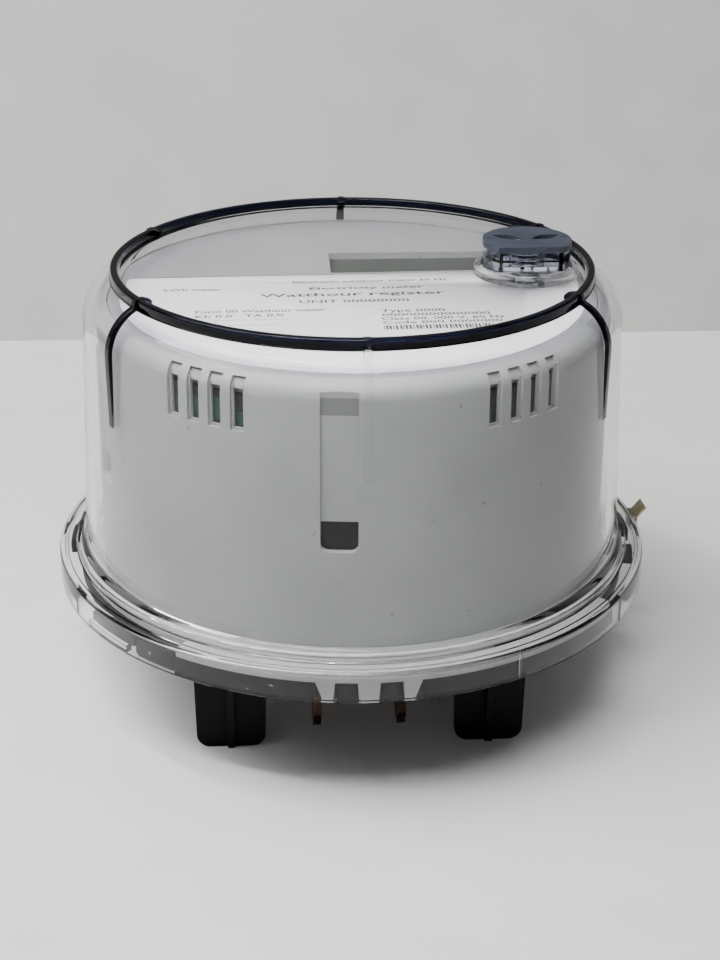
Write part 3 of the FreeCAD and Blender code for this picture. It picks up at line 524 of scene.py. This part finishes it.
def knob():
    """The cap with its slots and slits, the clear body in two rooms, and a dark liner under the cap."""
    cap = prism("reset_knob_cap", [flat_sided(knob_radius, knob_chord)], knob_low[2], knob_high[2])
    for side in (-1, 1):
        slot = prism("slot", [leaf(side)], knob_low[2] - 1 * MM, knob_high[2] + 1 * MM)
        boolean(cap, slot, "DIFFERENCE")
        middle = side * 10.8 * MM + knob_x
        slit = [(middle - 0.9 * MM, knob_y + 1.1 * MM), (middle + 0.9 * MM, knob_y + 1.1 * MM),
                (middle + 0.9 * MM, knob_y + 1.7 * MM), (middle - 0.9 * MM, knob_y + 1.7 * MM)]
        boolean(cap, prism("slit", [slit], knob_high[2] - 0.8 * MM, knob_high[2] + 1 * MM), "DIFFERENCE")
    smooth_again(cap)
    soften(cap, 0.2 * MM, angle=50)
    dress(cap, "knob", knob_blue, ["knob_cap"])
    inner_outline = flat_sided(knob_radius - 1.4 * MM, knob_chord - 1.4 * MM)
    outer_outline = flat_sided(knob_radius - 0.2 * MM, knob_chord - 0.2 * MM)
    middle = (body_low[2] + body_high[2]) / 2
    body = prism("reset_knob_body", [outer_outline], body_low[2], body_high[2])
    for low, high in ((body_low[2] - 1 * MM, middle - 0.3 * MM),
                      (middle + 0.3 * MM, body_high[2] + 1 * MM)):
        boolean(body, prism("room", [inner_outline], low, high), "DIFFERENCE")
    axis = (knob_x, knob_y)
    boolean(body, plug(axis, 5.9 * MM, body_low[2] - 1 * MM, body_high[2] + 1 * MM), "DIFFERENCE")
    smooth_again(body)
    dress(body, "knob", clear_knob, ["knob_body"])
    liner = prism("knob_liner", [flat_sided(knob_radius - 1.6 * MM, knob_chord - 1.6 * MM)],
                  knob_low[2] - 0.35 * MM, knob_low[2], 0.1 * MM)
    boolean(liner, plug(axis, 6.2 * MM, knob_low[2] - 1 * MM, knob_low[2] + 1 * MM), "DIFFERENCE")
    dress(liner, "knob", case_black)
    knob_trim()


def spring():
    """The return spring as a piece of its own on the cover; the real spring shortens as the knob goes
    down.
    """
    node = frame["nodes"]["plunger_spring"]
    shape = bmesh.new()
    shape.from_mesh(node.data)
    shape.transform(node.matrix_world)
    piece = new_object("return_spring", shape)
    dress(piece, "cover", plain_steel, ["plunger_spring"])
    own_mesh(piece)


def block(name, low, high, bevel):
    """A small block with softened edges, its corners given from the knob's axis and the cover's face."""
    outline = [(low[0], low[1]), (high[0], low[1]), (high[0], high[1]), (low[0], high[1])]
    places = [(knob_x + x * MM, knob_y + y * MM) for x, y in outline]
    return prism(name, [places], face_level + low[2] * MM, face_level + high[2] * MM, bevel)


def knob_trim():
    """Dark posts in the corners of the knob's flat side, pale pads at its foot, and a rail."""
    height = (body_high[2] - body_low[2]) / MM
    front = -knob_chord / MM + 0.35
    for index, x in enumerate((-8.8, 8.0), start=1):
        post = block(f"knob_post_{index}", (x, front, 0.15),
                     (x + 0.8, front + 0.9, height - 0.1), 0.1 * MM)
        dress(post, "knob", clear_edge)
    for index, (x, width) in enumerate(((-7.4, 4.6), (-1.6, 1.9), (1.0, 3.8), (5.6, 2.2)), start=1):
        pad = block(f"knob_pad_{index}", (x, front + 0.95, 0.1),
                    (x + width, front + 1.8, 0.95), 0.12 * MM)
        dress(pad, "knob", knob_foot_grey)
    section = ring_section(knob_radius - 2.2 * MM, knob_radius - 1.5 * MM,
                           face_level + 2.4 * MM, face_level + 2.8 * MM)
    rail = turned("knob_rail", section, 50, 310, steps=90, centre=(knob_x, knob_y))
    dress(soften(rail, 0.08 * MM), "knob", clear_edge)


# ---------------------------------------------------------------- label and base trim

PRINT_LINES = (
    # words, left end, base line, width and height in millimetres on the label
    ("kWh meter", -54, -1.2, 16.5, 2.2),
    ("Electronic watthour meter 60 Hz", -17, 4.2, 45, 1.9),
    ("Electricity meter", -12.5, -2.2, 33, 2.0),
    ("Watthour register", -27, -8.2, 53, 2.9),
    ("UNIT 00000000", -16, -14.2, 31, 2.4),
    ("Form 00 Watthour meter", -45, -21.0, 36, 2.2),
    ("Kh 0.0   TA 0.0", -45, -25.0, 24, 2.2),
    ("Type 0000", 6, -23.4, 18, 2.1),
    ("00000000000000", 6, -26.8, 30, 2.1),
    ("Class 00, 000 V, 60 Hz", 5.5, -30.0, 34, 2.1),
    ("Code 000 0000000", 5.5, -33.2, 33, 2.1),
)
RULES = ((-40, -27.5, 9), (-29, -27.5, 10), (-36, -32, 14))


def on_label(x, y):
    """A place on the label, which lies slightly turned in its seat."""
    cosine, sine = math.cos(label_turn), math.sin(label_turn)
    return (x * cosine - y * sine, x * sine + y * cosine)


def label_sheet():
    """The printed sheet: a round lower edge, a straight upper edge and small rounded corners."""
    limit = 96
    loop = []
    for i in range(91):
        place = on_circle(label_radius, -limit + 2 * limit * i / 90, 0)
        loop.append((place.x, place.y))
    reach = math.sqrt(label_radius ** 2 - label_edge ** 2)
    corner = [(reach - 0.35 * MM, label_edge - 1.2 * MM), (reach - 1.3 * MM, label_edge - 0.3 * MM),
              (reach - 2.8 * MM, label_edge)]
    loop += corner + [(-x, y) for x, y in reversed(corner)]
    sheet = prism("label_sheet", [[on_label(x, y) for x, y in loop]], label_low[2], label_high[2])
    for radius, low, high in ((3.8 * MM, *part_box("reset_button")), (3.2 * MM, *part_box("test_button"))):
        centre = ((low[0] + high[0]) / 2, (low[1] + high[1]) / 2)
        hole = plug(centre, radius, label_low[2] - 1 * MM, label_high[2] + 1 * MM, steps=48)
        boolean(sheet, hole, "DIFFERENCE")
    dress(sheet, "base", label_white, ["label"])


def words(text, left, base, width, height):
    """A line of print as flat polygons in label millimetres."""
    curve = bpy.data.curves.new("words", "FONT")
    curve.body = text
    curve.resolution_u = 2
    curve.offset = 0.014
    holder = bpy.data.objects.new("words", curve)
    bpy.context.scene.collection.objects.link(holder)
    mesh = bpy.data.meshes.new_from_object(holder.evaluated_get(bpy.context.evaluated_depsgraph_get()))
    bpy.data.objects.remove(holder)
    xs = [vertex.co.x for vertex in mesh.vertices]
    capital = 0.69
    across = width / (max(xs) - min(xs))
    places = [((vertex.co.x - min(xs)) * across + left, vertex.co.y * height / capital + base)
              for vertex in mesh.vertices]
    return places, [tuple(polygon.vertices) for polygon in mesh.polygons]


def bars():
    """Rows of upright bars in widths that repeat by a simple rule, and the ruled lines."""
    strips = []
    left = 5.5
    for index in range(34):
        width = 0.3 + 0.3 * (index * index % 3)
        strips.append((left, -38.0, left + width, -34.6))
        left += width + 0.3 + 0.12 * (index * 3 % 5 % 3)
    strips += [(x, y, x + length, y + 0.2) for x, y, length in RULES]
    return strips


def label_print():
    """All print on the label as one thin piece."""
    shape = bmesh.new()
    level = label_high[2] + 0.01 * MM

    def face(corners):
        """A flat patch from corners in label millimetres."""
        shape.faces.new([shape.verts.new((*on_label(x * MM, y * MM), level)) for x, y in corners])

    for line in PRINT_LINES:
        places, polygons = words(*line)
        for polygon in polygons:
            face([places[i] for i in polygon])
    for x0, y0, x1, y1 in bars():
        face([(x0, y0), (x1, y0), (x1, y1), (x0, y1)])
    bmesh.ops.remove_doubles(shape, verts=shape.verts, dist=1e-7)
    bmesh.ops.recalc_face_normals(shape, faces=shape.faces)
    raised = bmesh.ops.extrude_face_region(shape, geom=shape.faces[:])
    top = [item for item in raised["geom"] if isinstance(item, bmesh.types.BMVert)]
    bmesh.ops.translate(shape, verts=top, vec=(0, 0, 0.02 * MM))
    # without this the order of the faces changes from run to run
    shape.verts.index_update()
    in_order = sorted(shape.faces, key=lambda patch: sorted(vertex.index for vertex in patch.verts))
    for number, patch in enumerate(in_order):
        patch.index = number
    shape.faces.sort()
    dress(new_object("label_print", shape), "base", print_grey)


def plate_edge():
    """The slightly raised edge of the plate above the label."""
    outline = [(-63.5, 12.2), (46.0, 12.2), (46.0, 12.9), (-63.5, 12.9)]
    strip = prism("plate_edge", [[on_label(x * MM, y * MM) for x, y in outline]],
                  label_low[2], label_low[2] + 0.35 * MM, 0.12 * MM)
    dress(strip, "base", plate_grey)


def channel_shades():
    """Painted shadow: a dark panel under the top edge of each channel in the shroud, standing in for the
    shade of a deeper recess.
    """
    for index, azimuth in enumerate(CHANNEL_AZIMUTHS, start=1):
        across = on_circle(4.8 * MM, azimuth + 90, 0)
        outline = []
        for side, depth in ((-1, 73.36), (1, 73.36), (1, 73.0), (-1, 73.0)):
            place = on_circle(depth * MM, azimuth, 0) + side * across
            outline.append((place.x, place.y))
        # a thin dark panel on the channel floor, painted shadow under its top edge
        shade = prism(f"channel_shade_{index}", [outline], 112.4 * MM, 117.0 * MM, 0.04 * MM)
        dress(shade, "base", painted_shadow_grey)


def rim_trim():
    """A speckled band round the front of the base rim, between the lip's tabs, and keys at its sides."""
    band_low, band_high = rim_band
    for index, (start, end, radius) in enumerate(RIM_BANDS, start=1):
        profile = ring_section(radius - 0.2 * MM, radius + 0.06 * MM, band_low, band_high)
        band = turned(f"rim_band_{index}", profile, start, end, steps=720)
        dress(band, "base", rim_grey)
    for index, (start, end) in enumerate(((75, 83), (-102, -98)), start=1):
        profile = ring_section(82.3 * MM, 85.4 * MM, band_high - 1 * MM, band_high)
        key = soften(turned(f"rim_key_{index}", profile, start, end), 0.2 * MM)
        dress(key, "base", rim_grey)


def joined(name, pieces):
    """One object from several meshes."""
    shape = bmesh.new()
    for piece in pieces:
        shape.from_mesh(piece.data)
        bpy.data.objects.remove(piece)
    return new_object(name, shape)


def vents():
    """Inside the shroud's vents: narrower inner slots, a dark sheet behind them as painted shade of the
    meter's dark inside, and the edge of a board.
    """
    for side, hand in ((-1, "left"), (1, "right")):
        frames = []
        for azimuth in VENT_AZIMUTHS:
            middle = side * azimuth
            jamb = ring_section(72.3 * MM, 73.1 * MM, 106.0 * MM, 118.0 * MM)
            head = [(r * MM, z * MM) for r, z in
                    ((71.2, 117.0), (72.9, 117.0), (72.7, 118.0), (71.2, 119.8), (69.8, 119.8))]
            sill = ring_section(72.3 * MM, 73.1 * MM, 106.0 * MM, 106.5 * MM)
            for start, end, profile in ((-1.5, -1.05, jamb), (1.05, 1.5, jamb),
                                        (-1.5, 1.5, head), (-1.5, 1.5, sill)):
                frames.append(turned("frame", profile, middle + start, middle + end, steps=1440))
        dress(joined(f"vent_frames_{hand}", frames), "base", shroud_grey)
        start, end = sorted((side * 23.5, side * 44.5))
        # a near-black sheet behind the vents: painted shade for the dark inside of the meter
        painted_shade_sheet = [(70.2, 100), (71.2, 100), (71.2, 114.6), (68.8, 117.2), (67.8, 117.2), (70.2, 114.2)]
        section = [(r * MM, z * MM) for r, z in painted_shade_sheet]
        painted_shade_sheet = turned(f"vent_painted_shade_{hand}", section, start, end, steps=480)
        dress(painted_shade_sheet, "base", case_black)
        strips = []
        for azimuth, (low, high) in zip(VENT_AZIMUTHS, BOARD_EDGES):
            section = ring_section(71.25 * MM, 71.6 * MM, low * MM, high * MM)
            middle = side * azimuth
            strips.append(turned("strip", section, middle - 1.1, middle + 0.5, steps=1440))
        dress(joined(f"vent_board_{hand}", strips), "base", board_green)


# ---------------------------------------------------------------- stage, light and camera

def one_sided(material):
    """The wall hides nothing from a camera that stands behind it."""
    tree = material.node_tree
    output = tree.nodes["Material Output"]
    shader = output.inputs["Surface"].links[0].from_socket
    mix = tree.nodes.new("ShaderNodeMixShader")
    tree.links.new(tree.nodes.new("ShaderNodeNewGeometry").outputs["Backfacing"], mix.inputs["Fac"])
    tree.links.new(shader, mix.inputs[1])
    tree.links.new(tree.nodes.new("ShaderNodeBsdfTransparent").outputs["BSDF"], mix.inputs[2])
    tree.links.new(mix.outputs["Shader"], output.inputs["Surface"])
    return material


def stage():
    """A pale table that goes on behind a pale wall, which is darker above the picture."""
    for name, corners, material in (
        ("stage_floor", [(-3, -3, 0), (3, -3, 0), (3, 3, 0), (-3, 3, 0)],
         moulded("table_white", (0.88, 0.874, 0.862), 0.5, grain=300.0, variation=0.02)),
        ("stage_wall", [(-3, 0.305, 0), (3, 0.305, 0), (3, 0.305, 0.17), (-3, 0.305, 0.17)],
         one_sided(moulded("wall_grey", (0.66, 0.655, 0.645), 0.8, grain=200.0, variation=0.03))),
        ("stage_upper_wall", [(-3, 0.305, 0.17), (3, 0.305, 0.17), (3, 0.305, 3), (-3, 0.305, 3)],
         one_sided(moulded("wall_dim", (0.12, 0.12, 0.12), 0.8, grain=200.0, variation=0.03))),
    ):
        shape = bmesh.new()
        shape.faces.new([shape.verts.new(corner) for corner in corners])
        piece = new_object(name, shape)
        piece.data.materials.append(material)


def lamp(name, place, target, size, power):
    """A white rectangular area light, aimed at a point."""
    data = bpy.data.lights.new(name, "AREA")
    data.shape = "RECTANGLE"
    data.size, data.size_y = size
    data.energy = power
    piece = bpy.data.objects.new(name, data)
    piece.location = place
    piece.rotation_euler = (Vector(target) - Vector(place)).to_track_quat("-Z", "Y").to_euler()
    bpy.context.scene.collection.objects.link(piece)


def lights():
    """Soft light from the left and above, two strips that draw lines on the shoulder, and a dim room."""
    lamp("window_side", (-0.75, -0.05, 1.0), (0, 0, 0.05), (0.9, 0.6), 11.5)
    lamp("overhead", (-0.1, 0.15, 1.3), (0, 0.1, 0.05), (1.2, 0.5), 5.5)
    lamp("tube", (-0.28, -0.5, 1.2), (0, 0, 0.1), (0.8, 0.1), 5.5)
    for name, y, z in (("strip_high", -0.174, 0.584), ("strip_low", -0.30, 0.53)):
        lamp(name, (-0.10, y, z), (0, -0.07, 0.12), (0.36, 0.008), 1.3)
    world = bpy.data.worlds.new("soft_room")
    world.use_nodes = True
    background = world.node_tree.nodes["Background"]
    background.inputs["Color"].default_value = (0.86, 0.86, 0.855, 1)
    background.inputs["Strength"].default_value = 0.07
    bpy.context.scene.world = world


def camera():
    """The camera in front of the meter, a little above it."""
    data = bpy.data.cameras.new("camera")
    data.lens = 63.67
    data.sensor_width = 36
    data.clip_start = 0.01
    piece = bpy.data.objects.new("camera", data)
    piece.location = (-0.02628, -0.46795, 0.27243)
    aim = Vector((0.0560, 0.9102, -0.4105))
    turn = aim.to_track_quat("-Z", "Y").to_matrix().to_4x4() @ Matrix.Rotation(0.0063, 4, "Z")
    piece.matrix_world = Matrix.Translation(piece.location) @ turn
    bpy.context.scene.collection.objects.link(piece)
    bpy.context.scene.camera = piece


dress_cad_nodes()
cover()
knob()
spring()
label_sheet()
label_print()
plate_edge()
channel_shades()
rim_trim()
vents()
stage()
lights()
camera()
